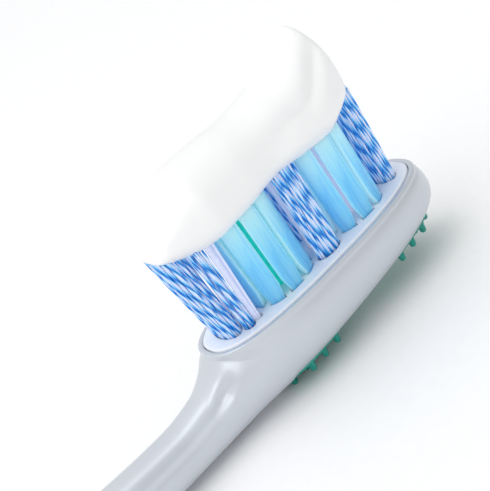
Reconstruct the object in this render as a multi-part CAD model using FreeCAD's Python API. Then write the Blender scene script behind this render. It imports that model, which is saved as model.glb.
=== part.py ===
import FreeCAD, Part
import math
import os

# A toothbrush lying on its back, with a strip of paste on its tufts. Sizes are in millimetres.
# The origin is the middle of the grip's flat back, +X runs to the tip of the head, and +Z is up,
# the way the tufts stand. Heights named "drop" are measured down from the head's rim.

# Handle
brush_length = 190.0
tail_reach = 49.3
tail_round = 9.0
tail_half_width = 5.6
tail_height = 10.6
grip_half_width = 7.0
grip_height = 12.2
shoulder_x = 27.0
shoulder_half_width = 6.1
shoulder_height = 11.0
waist_x = 56.0
waist_half_width = 4.3
waist_height = 8.0
waist_lift = 0.4
flat_sink = 0.7
handle_power = 2.5

# Neck, placed by its distance behind the head's rear end; the last stations lie inside the head
neck_start = 20.6
neck_start_top_drop = 2.55
neck_slim = 7.2
neck_slim_top_drop = 3.35
neck_half_width = 3.0
neck_bottom_drop = 8.15
flare_foot = 3.4
flare_foot_half_width = 3.25
flare_foot_top_drop = 2.85
flare_mid = 0.95
flare_mid_half_width = 3.9
flare_mid_top_drop = 1.65
flare_top = -0.8
flare_top_half_width = 4.5
flare_top_drop = 0.5
flare_top_bottom_drop = 7.9
flare_end = -3.9
flare_end_half_width = 4.6
flare_end_drop = 0.35
flare_end_bottom_drop = 7.2

# Head shell
plate_half_length = 14.3
plate_half_width = 5.4
plan_power = 2.6
rim_margin = 0.6
end_bulge = 0.45
side_bulge = 0.65
bulge_level = 0.42
belly_depth = 6.7
belly_slope_ratio = 0.095
belly_power = 2.4
belly_end_round = 4.0
belly_stop_ratio = 0.985

# Bristle plate
plate_thickness = 2.6
plate_proud = 0.15
plate_gap = 0.1
plate_edge_round = 0.25

# Tufts
tuft_depth = 1.9
tuft_height = 11.0
tuft_flare = 0.12
hole_gap = 0.04
lobe_depth = 0.12
lobe_pitch = 0.6
pale_radius = 0.5
core_radius = 1.3
end_tuft_margin = 1.5
end_tuft_half_length = 1.15
end_tuft_half_width = 2.4
rear_tuft_lean = -0.85
tip_tuft_lean = 0.4
corner_tuft_step = 1.35
corner_tuft_margin = 2.15
corner_tuft_half_length = 0.62
corner_tuft_half_width = 0.66
corner_tuft_lean = -0.3
side_tuft_shift = -0.25
side_tuft_margin = 1.2
side_tuft_half_length = 1.5
side_tuft_half_width = 0.95
side_tuft_lean = 0.6
pale_corner_gap = 0.4
pale_corner_margin = 2.4
pale_end_gap = 0.75

# Polishing cups
cup_rear_gap = 2.3
cup_middle_gap = 3.0
cup_front_gap = 0.5
cup_margin = 1.4
cup_wall = 0.85
cup_height = 10.3
cup_bury = 2.0
ring_cover = 0.7
petal_count = 10
slit_width = 0.65

# Anchor staples
staple_thickness = 0.22
staple_height = 1.1
staple_bite = 0.15

# Tongue cleaner
pad_proud = 0.25
pad_inset = 0.6
pad_margin = 2.35
pad_waist_inset = 1.9
pad_rear_margin = 4.35
pad_front_margin = 2.15
pad_rear_round = 3.0
pad_front_round = 2.6
pad_lobe = 3.0
pad_waist_x = 1.4
nub_height = 0.95
nub_radius = 0.4
nub_tip_radius = 0.3
nub_tip_round = 0.15
nub_pitch = 1.9
nub_row_pitch = 1.65
nub_rows = 5
nub_rear_margin = 1.2
nub_count = 4
nub_front_margin = 0.5
nub_sink = 0.3

# Toothpaste
paste_widest = 1.3
paste_low_power = 3.0
paste_high_power = 2.2
paste_rear_margin = 1.3
paste_front_margin = 1.65
field_margin_end = 0.4
field_margin_side = 0.5

# Points round each outline
oval_points = 32
section_points = 24
paste_points = 24

# Places worked out from the sizes above
rim_half_length = plate_half_length + rim_margin
rim_half_width = plate_half_width + rim_margin
head_half_length = rim_half_length + end_bulge
head_half_width = rim_half_width + side_bulge
head_x = brush_length - tail_reach - head_half_length
cup_half_width = plate_half_width - cup_margin
end_tuft_x = plate_half_length - end_tuft_margin - end_tuft_half_length
cup_rear_end = end_tuft_half_length - end_tuft_x + cup_rear_gap
cup_front_end = end_tuft_x - end_tuft_half_length - cup_front_gap
cup_half_length = (cup_front_end - cup_rear_end - cup_middle_gap) / 4
cup_middle_x = (cup_rear_end + cup_front_end) / 2
cup_rear_x = cup_rear_end + cup_half_length
cup_front_x = cup_front_end - cup_half_length
corner_tuft_x = corner_tuft_step - end_tuft_x
corner_tuft_y = plate_half_width - corner_tuft_margin - corner_tuft_half_width
side_tuft_x = cup_middle_x + side_tuft_shift
side_tuft_y = plate_half_width - side_tuft_margin - side_tuft_half_width
pale_corner_x = cup_rear_end - pale_corner_gap - pale_radius
pale_corner_y = plate_half_width - pale_corner_margin - pale_radius
pale_end_x = cup_rear_end - pale_end_gap - pale_radius
pad_half_width = head_half_width - pad_margin
pad_waist_half_width = pad_half_width - pad_waist_inset
pad_rear_end = pad_rear_margin - head_half_length
pad_front_end = head_half_length - pad_front_margin
pad_rear_full = pad_rear_end + pad_rear_round
pad_front_full = pad_front_end - pad_front_round
nub_rear_x = pad_rear_end + nub_rear_margin
nub_front_x = pad_front_end - nub_front_margin - (nub_count - 1) * nub_pitch


def belly_drop(x):
    """Depth of the shell's lowest line below the rim, x from the middle of the head."""
    return belly_depth - belly_slope_ratio * x


rim_z = belly_drop(nub_rear_x) + pad_proud + nub_height
plate_top_z = rim_z + plate_proud
pocket_floor_z = plate_top_z - plate_thickness
tuft_top_z = plate_top_z + tuft_height
hole_floor_z = plate_top_z - tuft_depth


def signed_power(value, power):
    return math.copysign(abs(value) ** power, value)


def closed_wire(points):
    """A smooth closed outline; even parameters keep the outlines of one loft alike."""
    curve = Part.BSplineCurve()
    steps = [float(index) for index in range(len(points) + 1)]
    curve.interpolate(Points=points, PeriodicFlag=True, Parameters=steps)
    return Part.Wire([curve.toShape()])


def oval_points_at(centre_x, half_x, half_y, height):
    """Points of the head's squarish oval in plan; height is a function of x."""
    points = []
    for index in range(oval_points):
        angle = 2 * math.pi * (index + 0.5) / oval_points
        x = centre_x + half_x * signed_power(math.cos(angle), 2 / plan_power)
        y = half_y * signed_power(math.sin(angle), 2 / plan_power)
        points.append(FreeCAD.Vector(x, y, height(x)))
    return points


def oval_wire(centre_x, half_x, half_y, z):
    return closed_wire(oval_points_at(centre_x, half_x, half_y, lambda x: z))


def oval_prism(centre_x, half_x, half_y, low, high):
    return Part.Face(oval_wire(centre_x, half_x, half_y, low)).extrude(FreeCAD.Vector(0, 0, high - low))


def ellipse_prism(centre_x, centre_y, half_x, half_y, low, high):
    centre = FreeCAD.Vector(centre_x, centre_y, low)
    end_x = FreeCAD.Vector(half_x, 0, 0)
    end_y = FreeCAD.Vector(0, half_y, 0)
    if half_x > half_y:
        ellipse = Part.Ellipse(centre + end_x, centre + end_y, centre)
    elif half_x < half_y:
        ellipse = Part.Ellipse(centre + end_y, centre - end_x, centre)
    else:
        ellipse = Part.Circle(centre, FreeCAD.Vector(0, 0, 1), half_x)
    return Part.Face(Part.Wire([ellipse.toShape()])).extrude(FreeCAD.Vector(0, 0, high - low))


def cross_section(x, half_width, bottom, top):
    """Squarish rounded section of the handle, across X."""
    middle = (bottom + top) / 2
    half_height = (top - bottom) / 2
    points = []
    for index in range(section_points):
        angle = 2 * math.pi * (index + 0.5) / section_points
        y = half_width * signed_power(math.cos(angle), 2 / handle_power)
        z = middle + half_height * signed_power(math.sin(angle), 2 / handle_power)
        points.append(FreeCAD.Vector(x, y, z))
    return closed_wire(points)


def handle_stem():
    """Tail, grip and neck as one loft, with the neck flaring into the head."""
    stations = []
    middle = (tail_height - flat_sink) / 2
    for turn in (10, 28, 48, 68):
        angle = math.radians(turn)
        reach = -tail_reach + tail_round * (1 - math.cos(angle))
        half_height = (tail_height + flat_sink) / 2 * math.sin(angle)
        half_width = tail_half_width * math.sin(angle)
        stations.append((reach, half_width, middle - half_height, middle + half_height))
    stations.append((tail_round - tail_reach, tail_half_width, -flat_sink, tail_height))
    stations.append((0, grip_half_width, -flat_sink, grip_height))
    stations.append((shoulder_x, shoulder_half_width, -flat_sink, shoulder_height))
    stations.append((waist_x, waist_half_width, waist_lift, waist_height))
    for behind, half_width, bottom_drop, top_drop in (
        (neck_start, neck_half_width, neck_bottom_drop, neck_start_top_drop),
        (neck_slim, neck_half_width, neck_bottom_drop, neck_slim_top_drop),
        (flare_foot, flare_foot_half_width, neck_bottom_drop, flare_foot_top_drop),
        (flare_mid, flare_mid_half_width, neck_bottom_drop, flare_mid_top_drop),
        (flare_top, flare_top_half_width, flare_top_bottom_drop, flare_top_drop),
        (flare_end, flare_end_half_width, flare_end_bottom_drop, flare_end_drop),
    ):
        reach = head_x - head_half_length - behind
        stations.append((reach, half_width, rim_z - bottom_drop, rim_z - top_drop))
    stem = Part.makeLoft([cross_section(*station) for station in stations], True, False)
    return stem.cut(below_floor())


def below_floor():
    """A block under the resting plane, which leaves the grip's back flat."""
    corner = FreeCAD.Vector(-tail_reach - tail_round, -2 * grip_half_width, -grip_height)
    return Part.makeBox(head_x + tail_reach, 4 * grip_half_width, grip_height, corner)


def head_body(proud):
    """The head's shell as plan ovals stacked from the rim to the belly, all moved out by proud."""
    wires = []
    for share in (0, 0.14, 0.28, bulge_level):
        out = math.sin(math.pi / 2 * share / bulge_level)
        half_length = rim_half_length + end_bulge * out
        wires.append(head_oval(share, half_length, rim_half_width + side_bulge * out, proud))
    for turn in (0.25, 0.45, 0.62, 0.77, 0.88, 0.95, belly_stop_ratio):
        shrink = (1 - turn ** belly_power) ** (1 / belly_power)
        share = bulge_level + (1 - bulge_level) * turn
        half_length = head_half_length - belly_end_round * (1 - shrink)
        wires.append(head_oval(share, half_length, head_half_width * shrink, proud))
    return Part.makeLoft(wires, True, False)


def head_oval(share, half_length, half_width, proud):
    """One oval of the shell, in the tilted plane that lies share of the way down to the belly."""
    def height(x):
        return rim_z - share * (belly_drop(x - head_x) + proud)
    return closed_wire(oval_points_at(head_x, half_length + proud, half_width + proud, height))


def plate_pocket():
    half_length = plate_half_length + plate_gap
    return oval_prism(head_x, half_length, plate_half_width + plate_gap, pocket_floor_z, tuft_top_z)


def pad_outline(x):
    """Half width of the tongue cleaner at x: two full lobes joined by a waist."""
    if x < pad_rear_full:
        turn = (pad_rear_full - x) / (pad_rear_full - pad_rear_end)
        return pad_half_width * math.sqrt(max(0, 1 - turn ** 2))
    if x > pad_front_full:
        turn = (x - pad_front_full) / (pad_front_end - pad_front_full)
        return pad_half_width * math.sqrt(max(0, 1 - turn ** 2))
    if x < pad_waist_x:
        turn = (pad_waist_x - x) / (pad_waist_x - pad_rear_full - pad_lobe)
    else:
        turn = (x - pad_waist_x) / (pad_front_full - pad_lobe - pad_waist_x)
    return pad_half_width - pad_waist_inset * (1 + math.cos(math.pi * min(turn, 1))) / 2


def pad_blank():
    """An upright prism with the tongue cleaner's outline."""
    steps = 28
    one_side = []
    for index in range(1, steps):
        turn = math.pi * index / steps
        x = (pad_rear_end + pad_front_end) / 2 - (pad_front_end - pad_rear_end) / 2 * math.cos(turn)
        one_side.append((x, pad_outline(x)))
    outline = [(pad_rear_end, 0)] + [(x, -y) for x, y in one_side] + [(pad_front_end, 0)]
    outline += [(x, y) for x, y in reversed(one_side)]
    low = rim_z - 2 * belly_depth
    points = [FreeCAD.Vector(head_x + x, y, low) for x, y in outline]
    return Part.Face(closed_wire(points)).extrude(FreeCAD.Vector(0, 0, 2 * belly_depth - rim_z / 2))


def belly_surface_z(x, y):
    """Height of the pad's outer surface at a point in plan, x from the middle of the head."""
    ratio = min(abs(y) / (head_half_width + pad_proud), 0.99)
    turn = (1 - ratio ** belly_power) ** (1 / belly_power)
    share = bulge_level + (1 - bulge_level) * turn
    return rim_z - share * (belly_drop(x) + pad_proud)


def nub(x, y):
    """One tapered nub with a bevelled tip, pointing down out of the pad."""
    root_z = belly_surface_z(x, y)
    place = FreeCAD.Vector(head_x + x, y, root_z + nub_sink)
    down = FreeCAD.Vector(0, 0, -1)
    stem_length = nub_height + nub_sink - nub_tip_round
    stem = Part.makeCone(nub_radius, nub_tip_radius, stem_length, place, down)
    tip_place = place + stem_length * down
    end_radius = nub_tip_radius - nub_tip_round
    return stem.fuse(Part.makeCone(nub_tip_radius, end_radius, nub_tip_round, tip_place, down))


def nub_places():
    places = []
    for row in range(nub_rows):
        y = (row - (nub_rows - 1) / 2) * nub_row_pitch
        for start in (nub_rear_x, nub_front_x):
            for index in range(nub_count):
                x = start + index * nub_pitch
                if pad_outline(x) - abs(y) > nub_radius:
                    places.append((x, y))
    return places


def tongue_cleaner():
    pad = head_body(pad_proud).common(pad_blank()).cut(head_body(-pad_inset))
    return pad.fuse([nub(x, y) for x, y in nub_places()])


def pad_recess():
    """What the tongue cleaner takes out of the shell: the skin inside its outline."""
    return pad_blank().cut(head_body(-pad_inset))


def lobed_wire(centre_x, centre_y, half_x, half_y, lobes, z):
    """An oval edged with round lobes, one arc for each bundle of filaments."""
    def at(turn, inset):
        angle = 2 * math.pi * turn / lobes
        return FreeCAD.Vector(
            centre_x + (half_x - inset) * math.cos(angle), centre_y + (half_y - inset) * math.sin(angle), z
        )
    arcs = []
    for lobe in range(lobes):
        arc = Part.Arc(at(lobe, lobe_depth), at(lobe + 0.5, 0), at(lobe + 1, lobe_depth))
        arcs.append(arc.toShape())
    return Part.Wire(arcs)


def staple(x, y, half_x, half_y):
    """A thin upright anchor across a tuft's root, biting a little into the plate at each end."""
    if half_x > half_y:
        size_x, size_y = 2 * (half_x + staple_bite), staple_thickness
    else:
        size_x, size_y = staple_thickness, 2 * (half_y + staple_bite)
    corner = FreeCAD.Vector(head_x + x - size_x / 2, y - size_y / 2, hole_floor_z)
    return Part.makeBox(size_x, size_y, staple_height, corner)


def tuft_hole(x, y, half_x, half_y):
    return ellipse_prism(head_x + x, y, half_x + hole_gap, half_y + hole_gap, hole_floor_z, tuft_top_z)


def tuft(x, y, half_x, half_y, lean_x):
    """A lobed bundle, upright in its hole and then leaning by lean_x at its top."""
    lobes = round(math.pi * (half_x + half_y) / lobe_pitch)
    foot = lobed_wire(head_x + x, y, half_x, half_y, lobes, hole_floor_z)
    collar = lobed_wire(head_x + x, y, half_x, half_y, lobes, plate_top_z)
    top = lobed_wire(head_x + x + lean_x, y, half_x + tuft_flare, half_y + tuft_flare, lobes, tuft_top_z)
    return Part.makeLoft([foot, collar, top], True, True).cut(staple(x, y, half_x, half_y))


def tuft_places():
    """Node name to place, half sizes and lean of every tuft."""
    places = {}
    end_size = (end_tuft_half_length, end_tuft_half_width)
    places["end_tuft_rear"] = (-end_tuft_x, 0, *end_size, rear_tuft_lean)
    places["end_tuft_tip"] = (end_tuft_x, 0, *end_size, tip_tuft_lean)
    corner_size = (corner_tuft_half_length, corner_tuft_half_width)
    side_size = (side_tuft_half_length, side_tuft_half_width)
    for index, side in enumerate((-1, 1), 1):
        corner_y = side * corner_tuft_y
        places[f"corner_tuft_{index}"] = (corner_tuft_x, corner_y, *corner_size, corner_tuft_lean)
        places[f"side_tuft_{index}"] = (side_tuft_x, side * side_tuft_y, *side_size, side_tuft_lean)
        places[f"pale_tuft_{index}"] = (pale_corner_x, side * pale_corner_y, pale_radius, pale_radius, 0)
    for index, x in enumerate((pale_end_x, cup_middle_x), 3):
        places[f"pale_tuft_{index}"] = (x, 0, pale_radius, pale_radius, 0)
    places["core_tuft_rear"] = (cup_rear_x, 0, core_radius, core_radius, 0)
    places["core_tuft_front"] = (cup_front_x, 0, core_radius, core_radius, 0)
    return places


def cup(x):
    """A buried ring with upright petals parted by slits."""
    low = plate_top_z - cup_bury
    high = plate_top_z + cup_height
    outer = oval_prism(head_x + x, cup_half_length, cup_half_width, low, high)
    inner = oval_prism(head_x + x, cup_half_length - cup_wall, cup_half_width - cup_wall, low, high)
    slit_low = plate_top_z - ring_cover
    slits = []
    for index in range(petal_count):
        turn = 360 * (index + 0.5) / petal_count + 90
        corner = FreeCAD.Vector(0, -slit_width / 2, slit_low)
        slit = Part.makeBox(2 * cup_half_width, slit_width, high - slit_low, corner)
        slit.rotate(FreeCAD.Vector(0, 0, 0), FreeCAD.Vector(0, 0, 1), turn)
        slit.translate(FreeCAD.Vector(head_x + x, 0, 0))
        slits.append(slit)
    return outer.cut(inner).cut(slits)


def bristle_plate(cups, staples):
    rings = [oval_wire(head_x, plate_half_length, plate_half_width, pocket_floor_z)]
    for turn in (0, 30, 60, 90):
        inset = plate_edge_round * (1 - math.cos(math.radians(turn)))
        z = plate_top_z - plate_edge_round * (1 - math.sin(math.radians(turn)))
        rings.append(oval_wire(head_x, plate_half_length - inset, plate_half_width - inset, z))
    blank = Part.makeLoft(rings, True, True)
    holes = [tuft_hole(x, y, half_x, half_y) for x, y, half_x, half_y, lean in tuft_places().values()]
    return blank.cut(holes).cut(cups).cut(staples)


def paste_section(x, half_width, bottom, top):
    """Section of the strip, across X: full and round above, squarer below where it droops."""
    widest = tuft_top_z + paste_widest
    points = []
    for index in range(paste_points):
        angle = 2 * math.pi * (index + 0.5) / paste_points
        power = paste_high_power if math.sin(angle) > 0 else paste_low_power
        reach = top - widest if math.sin(angle) > 0 else widest - bottom
        y = half_width * signed_power(math.cos(angle), 2 / power)
        z = widest + reach * signed_power(math.sin(angle), 2 / power)
        points.append(FreeCAD.Vector(head_x + x, y, z))
    return closed_wire(points)


def toothpaste():
    """The strip: a low rear swell, a shallow dip and a high front swell, drooping past the tuft tops.

    Each station is the share of the strip's length, the half width, and the bottom and top from the
    tuft tops.
    """
    rear = paste_rear_margin - plate_half_length
    front = plate_half_length - paste_front_margin
    stations = (
        (0, 1.9, -0.6, 1.5),
        (0.015, 2.9, -1.2, 2.1),
        (0.05, 3.9, -1.7, 3.1),
        (0.12, 4.7, -2.0, 4.5),
        (0.22, 5.3, -2.15, 5.65),
        (0.37, 5.55, -2.0, 6.1),
        (0.52, 5.35, -1.5, 6.15),
        (0.67, 5.5, -1.65, 6.6),
        (0.8, 5.6, -1.8, 7.6),
        (0.885, 5.15, -1.6, 8.45),
        (0.94, 4.4, -1.2, 8.55),
        (0.98, 3.0, -0.4, 7.7),
        (1, 1.3, 0.6, 5.7),
    )
    sections = []
    for share, half_width, bottom, top in stations:
        x = rear + share * (front - rear)
        sections.append(paste_section(x, half_width, tuft_top_z + bottom, tuft_top_z + top))
    strip = Part.makeLoft(sections, True, False)
    field_length = plate_half_length - field_margin_end
    field_width = plate_half_width - field_margin_side
    return strip.cut(oval_prism(head_x, field_length, field_width, plate_top_z, tuft_top_z))


def main():
    places = tuft_places()
    cups = {"polishing_cup_rear": cup(cup_rear_x), "polishing_cup_front": cup(cup_front_x)}
    staples = [staple(x, y, half_x, half_y) for x, y, half_x, half_y, lean in places.values()]
    handle = handle_stem().fuse(head_body(0)).cut(plate_pocket()).cut(pad_recess())
    nodes = {"handle": handle, "tongue_cleaner": tongue_cleaner(), "toothpaste": toothpaste()}
    nodes["bristle_plate"] = bristle_plate(list(cups.values()), staples)
    nodes.update(cups)
    for name, place in places.items():
        nodes[name] = tuft(*place)
    nodes["anchor_staples"] = Part.makeCompound(staples)
    os.makedirs("parts", exist_ok=True)
    for name, shape in nodes.items():
        shape.exportStep(f"parts/{name}.step")
        print(name, len(shape.Solids), round(shape.Volume, 2), shape.isValid())


main()
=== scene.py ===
"""A toothbrush lying on its back with a thick strip of paste on its tufts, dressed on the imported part.

Lengths in the code are millimetres in the part's own frame unless a name says otherwise.
A "drop" is a depth below the head's rim, and an "oval" is the squarish oval that the head has in plan.
"""
import math

import bpy
import numpy as np
from mathutils import Matrix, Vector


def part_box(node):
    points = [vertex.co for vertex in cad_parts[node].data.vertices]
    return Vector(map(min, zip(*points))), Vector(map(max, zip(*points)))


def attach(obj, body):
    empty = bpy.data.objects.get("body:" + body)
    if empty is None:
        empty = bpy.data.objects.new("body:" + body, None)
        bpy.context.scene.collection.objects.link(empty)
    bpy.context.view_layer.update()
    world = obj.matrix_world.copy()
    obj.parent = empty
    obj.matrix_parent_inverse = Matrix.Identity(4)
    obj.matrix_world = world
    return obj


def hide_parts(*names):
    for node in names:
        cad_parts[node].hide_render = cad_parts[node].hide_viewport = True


bl_info = {
    "name": "Toothbrush with paste",
    "version": (1, 0, 0),
    "blender": (4, 5, 0),
    "location": "3D View > Sidebar > Brush",
    "description": "Dresses the packed toothbrush: handle, plate, cups, tufts, tongue cleaner and paste",
    "category": "Add Mesh",
}

MM = 0.001

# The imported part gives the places
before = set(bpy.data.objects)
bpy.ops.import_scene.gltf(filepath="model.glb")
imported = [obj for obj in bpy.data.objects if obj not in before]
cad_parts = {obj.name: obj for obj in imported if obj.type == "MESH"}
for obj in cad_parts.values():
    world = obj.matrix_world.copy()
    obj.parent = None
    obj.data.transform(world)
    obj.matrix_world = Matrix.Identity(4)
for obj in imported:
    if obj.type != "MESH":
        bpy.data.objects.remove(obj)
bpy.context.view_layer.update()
PLATE_LOW, PLATE_HIGH = (np.array(corner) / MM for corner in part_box("bristle_plate"))
HANDLE_LOW, HANDLE_HIGH = (np.array(corner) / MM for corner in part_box("handle"))
HEAD_X = (PLATE_LOW[0] + PLATE_HIGH[0]) / 2
PLATE_TOP = PLATE_HIGH[2]
TUFT_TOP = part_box("core_tuft_rear")[1].z / MM
CUP_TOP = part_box("polishing_cup_rear")[1].z / MM

# Head, as in the part
PLATE_HALF = (14.3, 5.4)
PLAN_POWER = 2.6
RIM_MARGIN = 0.6
BULGE = (0.45, 0.65)
BULGE_LEVEL = 0.42
BELLY_DEPTH = 6.7
BELLY_SLOPE = 0.095
BELLY_POWER = 2.4
BELLY_END_ROUND = 4.0
PLATE_PROUD = 0.15
RIM_Z = PLATE_TOP - PLATE_PROUD
RIM_HALF = (PLATE_HALF[0] + RIM_MARGIN, PLATE_HALF[1] + RIM_MARGIN)
HEAD_HALF = (RIM_HALF[0] + BULGE[0], RIM_HALF[1] + BULGE[1])
BELLY_LEAST_HALF = 0.02
RING_COVER = 0.1
RING_COVER_FADE = 0.12
RIM_GROOVE = 0.06
RIM_GROOVE_SHARE = 0.095
RIM_GROOVE_WIDTH = 0.028
RIM_CUT = 0.03
MOAT_DEPTH = 0.9
MOAT_REACH = 0.45
MOAT_FADE = 0.12
WALL_OVERLAP = 0.05

# Rim ring: shares of the belly's depth up the wall, then reach beyond the plate and drop
RIM_WALL = (0.5, 0.42, 0.36, 0.3, 0.24, 0.19, 0.15, 0.12, 0.095, 0.075, 0.055, 0.04)
RIM_LEDGE = (
    (0.655, 0.2),
    (0.635, 0.11),
    (0.595, 0.045),
    (0.54, 0.01),
    (0.47, 0.0),
    (0.3, 0.005),
    (0.2, 0.02),
    (0.12, 0.06),
    (0.08, 0.14),
    (0.06, 0.4),
    (0.06, 0.95),
    (0.5, 1.0),
)
RIM_SIDES = 360

# Finishes: painted light, a faint emission glow that lifts the shade among the strands and in the petals,
# in place of light that has passed through thin rubber and nylon
PAINTED_GLOW = 0.12
TEAL_PAINTED_GLOW = 0.4
PALE_PAINTED_GLOW = 0.3
WHITE = (1.0, 1.0, 1.0)
BLACK = (0.0, 0.0, 0.0)

# Handle stations: x, half width, bottom and top; the tail's round end comes before them
TAIL_ROUND = 9.0
STEM_POWER = 2.5
REST_Z = 0.004
BACK_ROUND = 0.5
NECK_X = HEAD_X - HEAD_HALF[0]
STEM = np.array([
    (-40.3, 5.6, -0.7, 10.6),
    (0.0, 7.0, -0.7, 12.2),
    (27.0, 6.1, -0.7, 11.0),
    (56.0, 4.3, 0.4, 8.0),
    (NECK_X - 20.6, 3.0, RIM_Z - 8.15, RIM_Z - 2.55),
    (NECK_X - 7.2, 3.0, RIM_Z - 8.15, RIM_Z - 3.35),
    (NECK_X - 3.4, 3.1, RIM_Z - 8.15, RIM_Z - 2.85),
    (NECK_X - 0.95, 3.4, RIM_Z - 8.15, RIM_Z - 1.65),
    (NECK_X + 0.8, 3.9, RIM_Z - 7.9, RIM_Z - 0.5),
    (NECK_X + 3.9, 4.1, RIM_Z - 7.2, RIM_Z - 0.35),
])
HANDLE_SIDES = 176
HANDLE_REACH = 14.0
HALVINGS = 26
TIP_CAP_X = 11.0
TAIL_INSET = 0.005
TIP_INSET = 0.004
TAIL_RINGS = 26
TIP_RINGS = 54

# Stretches of rings along the handle: where each ends, and its number of rings
HANDLE_STRETCHES = (
    (70.0, 74),
    (NECK_X - 4.0, 44),
    (NECK_X - 0.3, 36),
    (NECK_X + 0.7, 40),
    (HEAD_X + TIP_CAP_X, 96),
)

# Line inside the handle that the rays start from: drop in the head, rise to the tip, change from the stem
CORE_DROP = 3.9
CORE_RISE = 1.7
CORE_CHANGE_X = NECK_X - 7.0
CORE_CHANGE = 7.5

# Levels between which the shell's underside is looked for: a drop inside it, and a height below it
BELLY_INSIDE_DROP = 3.0
BELLY_OUTSIDE_Z = -1.0

# Fillet between stem and head: radius, gain below the rim, the depth and the stretch that it grows over
FILLET = 0.25
FILLET_GAIN = 1.9
FILLET_DEPTH = 2.5
FILLET_X = NECK_X - 6.0
FILLET_GROWTH = 4.0

# From here to the tip the handle stops at the rim's level
RIM_CUT_X = NECK_X - 12.0

# Creases along the neck: angle from the side, depth, width, start and fades; the hollow at their end
CREASE_ANGLE = 0.62
CREASE_DEPTH = 0.36
CREASE_WIDTH = 0.24
CREASE_X = 74.0
CREASE_FADE = 14.0
CREASE_PAST_NECK = 1.6
CREASE_END_FADE = 2.0
HOLLOW_DEPTH = 0.42
HOLLOW_BACK = 0.9
HOLLOW_REACH = 1.6

# Cups
CUP_WALL = 0.85
PETALS = 10
PETAL_SIDES = 44
PETAL_POWERS = (7.0, 4.0)
PETAL_ROOT = 0.7
PETAL_CAP = 0.045
PETAL_CAP_LEAST = 0.12
PETAL_CAP_PINCH = 0.35
PETAL_RINGS = 15
PETAL_CAP_RINGS = 7
PETAL_CAP_START = 0.2
SLIT = 0.38
FOOT_NOTCH = 0.3
FOOT_NOTCH_RISE = 1.5

# Tufts: node, half sizes along X and Y at the plate, lean along X, spread to the top, finish
TUFTS = (
    ("end_tuft_rear", 1.15, 2.4, -0.85, 0.24, "striped_filament"),
    ("end_tuft_tip", 1.15, 2.4, 0.4, 0.05, "striped_filament"),
    ("corner_tuft_1", 0.62, 0.66, -0.3, 0.75, "striped_filament"),
    ("corner_tuft_2", 0.62, 0.66, -0.3, 0.75, "striped_filament"),
    ("side_tuft_1", 1.5, 0.95, 0.6, 0.05, "striped_filament"),
    ("side_tuft_2", 1.5, 0.95, 0.6, 0.05, "striped_filament"),
    ("core_tuft_rear", 1.3, 1.3, 0.0, 0.05, "teal_filament"),
    ("core_tuft_front", 1.3, 1.3, 0.0, 0.05, "pale_filament"),
    ("pale_tuft_1", 0.5, 0.5, 0.45, 0.9, "pale_filament"),
    ("pale_tuft_2", 0.5, 0.5, 0.45, 0.9, "pale_filament"),
    ("pale_tuft_3", 0.5, 0.5, 0.0, 0.05, "pale_filament"),
    ("pale_tuft_4", 0.5, 0.5, 0.0, 0.05, "pale_filament"),
)
TUFT_FLARE = 0.35
STRIPE_PITCH = 2.7
STRAND_SIDES = 6
STRAND_RINGS = 9
STRAND_ROOT = 0.5
STRAND_TRIM = 0.25
STRAND_STRAY = 0.11
STRAND_BOW = 0.05
ROOT_SHAKE = 0.16
ROOT_INSET = 0.42
ROOT_COLUMNS = 30

# Where a strand's stripe begins: a wave across the tuft and a drift; and how tightly it winds
PHASE_WAVE = (0.35, 2.3, 1.7)
PHASE_DRIFT = 0.8
WINDING = (0.8, 1.3)

# Tongue cleaner
PAD_PROUD = 0.25
PAD_HALF_WIDTH = HEAD_HALF[1] - 2.35
PAD_WAIST_INSET = 1.9
PAD_REAR = 4.35 - HEAD_HALF[0]
PAD_FRONT = HEAD_HALF[0] - 2.15
PAD_REAR_ROUND = 3.0
PAD_FRONT_ROUND = 2.6
PAD_LOBE = 3.0
PAD_WAIST_X = 1.4
NUB_HEIGHT = 0.95
NUB_RADIUS = 0.42
NUB_SIDES = 12
NUB_CLEARANCE = 0.002
NUB_REAR_MARGIN = 1.2
NUB_FRONT_MARGIN = 0.5
NUB_EDGE_MARGIN = 0.4
NUB_PITCH = 1.9
NUB_ROW_PITCH = 1.65
NUB_ROWS = 5
NUB_COUNT = 4

# Pad from its buried edge to its middle: share of the outline and height over the shell
PAD_PROFILE = (
    (0.8, -0.6),
    (0.985, -0.5),
    (1.0, -0.2),
    (0.995, 0.08),
    (0.98, 0.19),
    (0.95, 0.245),
    (0.9, PAD_PROUD),
    (0.75, PAD_PROUD),
    (0.6, PAD_PROUD),
    (0.45, PAD_PROUD),
    (0.3, PAD_PROUD),
    (0.15, PAD_PROUD),
    (0.02, PAD_PROUD),
)
PAD_STEPS = 120
PAD_SHORTENING = 0.35

# Nub: share of its radius and share of its height
NUB_PROFILE = np.array([
    (1.2, -0.4),
    (1.1, 0.0),
    (0.95, 0.15),
    (0.84, 0.55),
    (0.8, 0.8),
    (0.6, 0.94),
    (0.15, 1.0),
])

# Paste
PASTE_ENDS = (1.3 - PLATE_HALF[0], PLATE_HALF[0] - 1.65)
PASTE_WIDEST = 1.3
PASTE_REAR_ROUND = 0.038
PASTE_FRONT_ROUND = 0.064
PASTE_END_POWER = 2.4
PASTE_LOW_POWER = 2.6
PASTE_HIGH_POWER = 2.2
PASTE_LAP = 0.9
PASTE_LAP_REACH = 0.12
PASTE_LAP_LEVEL = 1.8
PASTE_LAP_FADE = 2.0
PASTE_SIDES = 192
PASTE_RINGS = 120
PASTE_END_RINGS = 44
PASTE_FINE = (0.12, 0.9)
PASTE_POLE = 0.01
PASTE_SIZE = 5.5
PASTE_RIPPLE = 0.04
PASTE_DIP = 1.3
PASTE_DROOP = 4.0
PASTE_DROOP_REACH = 1.6

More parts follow.
